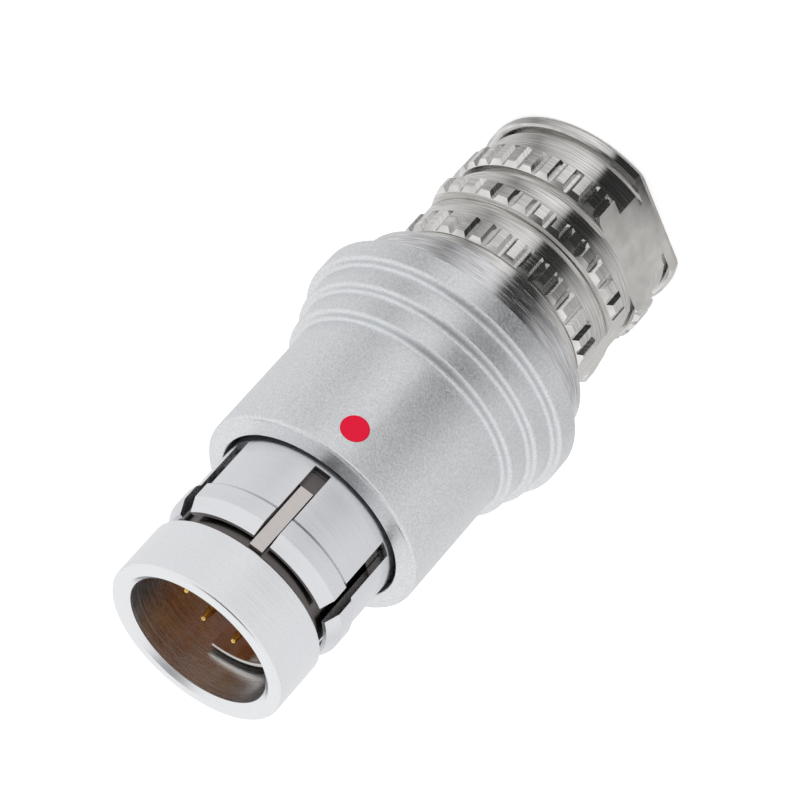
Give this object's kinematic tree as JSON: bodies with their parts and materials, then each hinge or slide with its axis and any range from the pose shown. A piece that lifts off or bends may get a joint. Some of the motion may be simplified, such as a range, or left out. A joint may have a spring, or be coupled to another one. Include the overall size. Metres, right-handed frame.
{
  "type": "push-pull circular connector plug",
  "caption": "Round push-pull plug with a bright nose tube, slotted latch sleeve, stepped matt release sleeve with a red alignment dot, knurled backshell and clamp nut.",
  "frame": {"origin": "centre of the flat rear end of the clamp nut, which is the base when the plug stands on its end", "axes": "+Z along the axis from the clamp nut to the nose; key rib and alignment dot on the -Y side; backshell spanner flats face +X and -X"},
  "size_m": [0.0232, 0.0232, 0.0498],
  "materials": {
    "bright_chrome": "fine turned chrome plate",
    "satin_chrome": "satin chrome plate",
    "blasted_chrome": "sand-blasted matt chrome plate",
    "nickel_turned": "turned bright nickel plate",
    "nickel_bright": "bright nickel plate",
    "brass_bare": "turned, bare",
    "gold_plate": "gold plated",
    "spring_steel": "drawn wire",
    "peek_brown": "moulded, slightly glossy",
    "red_enamel": "gloss enamel",
    "black_rubber": "moulded"
  },
  "bodies": {
    "plug_core": {"plug_body": "bright_chrome", "guide_half_shell": "nickel_bright", "insulator_front": "peek_brown", "insulator_back": "peek_brown", "insert_lock_ring": "brass_bare", "contact_pin_1": "gold_plate", "contact_pin_2": "gold_plate", "contact_pin_3": "gold_plate", "contact_pin_4": "gold_plate", "contact_pin_5": "gold_plate", "contact_pin_6": "gold_plate", "contact_pin_7": "gold_plate", "contact_pin_8": "gold_plate", "release_spring": "spring_steel", "spring_seat_ring": "nickel_bright", "backshell": "nickel_turned", "backshell_seal": "black_rubber", "clamp_nut": "nickel_turned", "nut_seal": "black_rubber", "clamp_collet": "brass_bare", "gland_washer": "nickel_bright", "cable_gland": "black_rubber", "earthing_ring": "brass_bare"},
    "sleeve": {"release_sleeve": "blasted_chrome", "latch_sleeve": "satin_chrome", "alignment_dot": "red_enamel", "latch_lock_ring": "nickel_bright"}
  },
  "joints": [
    {"name": "sleeve_release", "type": "slide", "parent": "plug_core", "child": "sleeve", "axis": [0, 0, 1], "range_m": [-0.0015, 0], "stiffness_N_per_m": 1500, "springref_m": 0.003, "deforming": ["release_spring"]}
  ]
}
